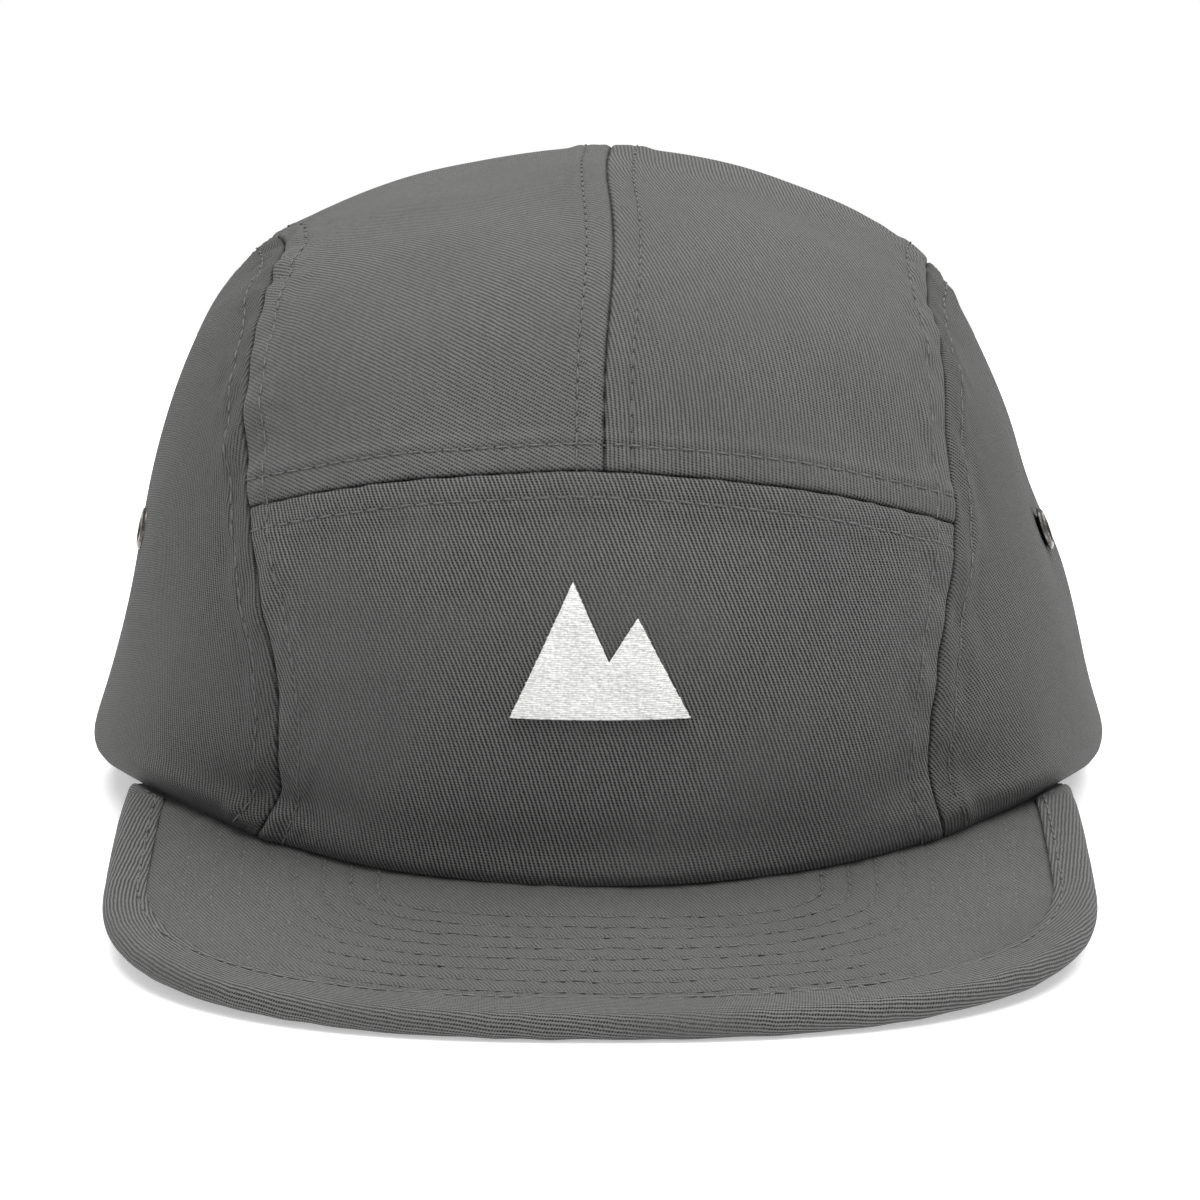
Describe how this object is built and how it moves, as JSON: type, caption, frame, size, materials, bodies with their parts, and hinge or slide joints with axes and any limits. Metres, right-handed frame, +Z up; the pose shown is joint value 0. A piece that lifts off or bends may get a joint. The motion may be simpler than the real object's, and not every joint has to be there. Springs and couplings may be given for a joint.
{
  "type": "five panel cap",
  "caption": "Soft grey cotton twill cap with a wide front panel, two top panels, deep side panels and a flat stitched peak with a bound edge.",
  "frame": {"origin": "middle of the cap's box in plan, on the surface that it rests on", "axes": "+Z up, -Y the way the peak points (the front), +X the right hand side as seen from the front"},
  "size_m": [0.1866, 0.2508, 0.1171],
  "materials": {
    "cloth": "cotton twill, slightly faded, matt",
    "band_tape": "plain cotton band, matt",
    "webbing": "woven cotton webbing, matt",
    "thread": "off-white embroidery thread, soft sheen",
    "plastic": "fine moulded grain, satin",
    "metal": "dark nickel, lightly rubbed"
  },
  "bodies": {
    "root": {"front_panel": "cloth", "top_panel_left": "cloth", "top_panel_right": "cloth", "side_panel_left": "cloth", "side_panel_right": "cloth", "sweatband": "band_tape", "peak": "cloth", "peak_binding": "cloth", "strap_left": "webbing", "strap_right": "webbing", "buckle": "plastic", "eyelet_left": "metal", "eyelet_right": "metal", "emblem": "thread"}
  },
  "joints": []
}
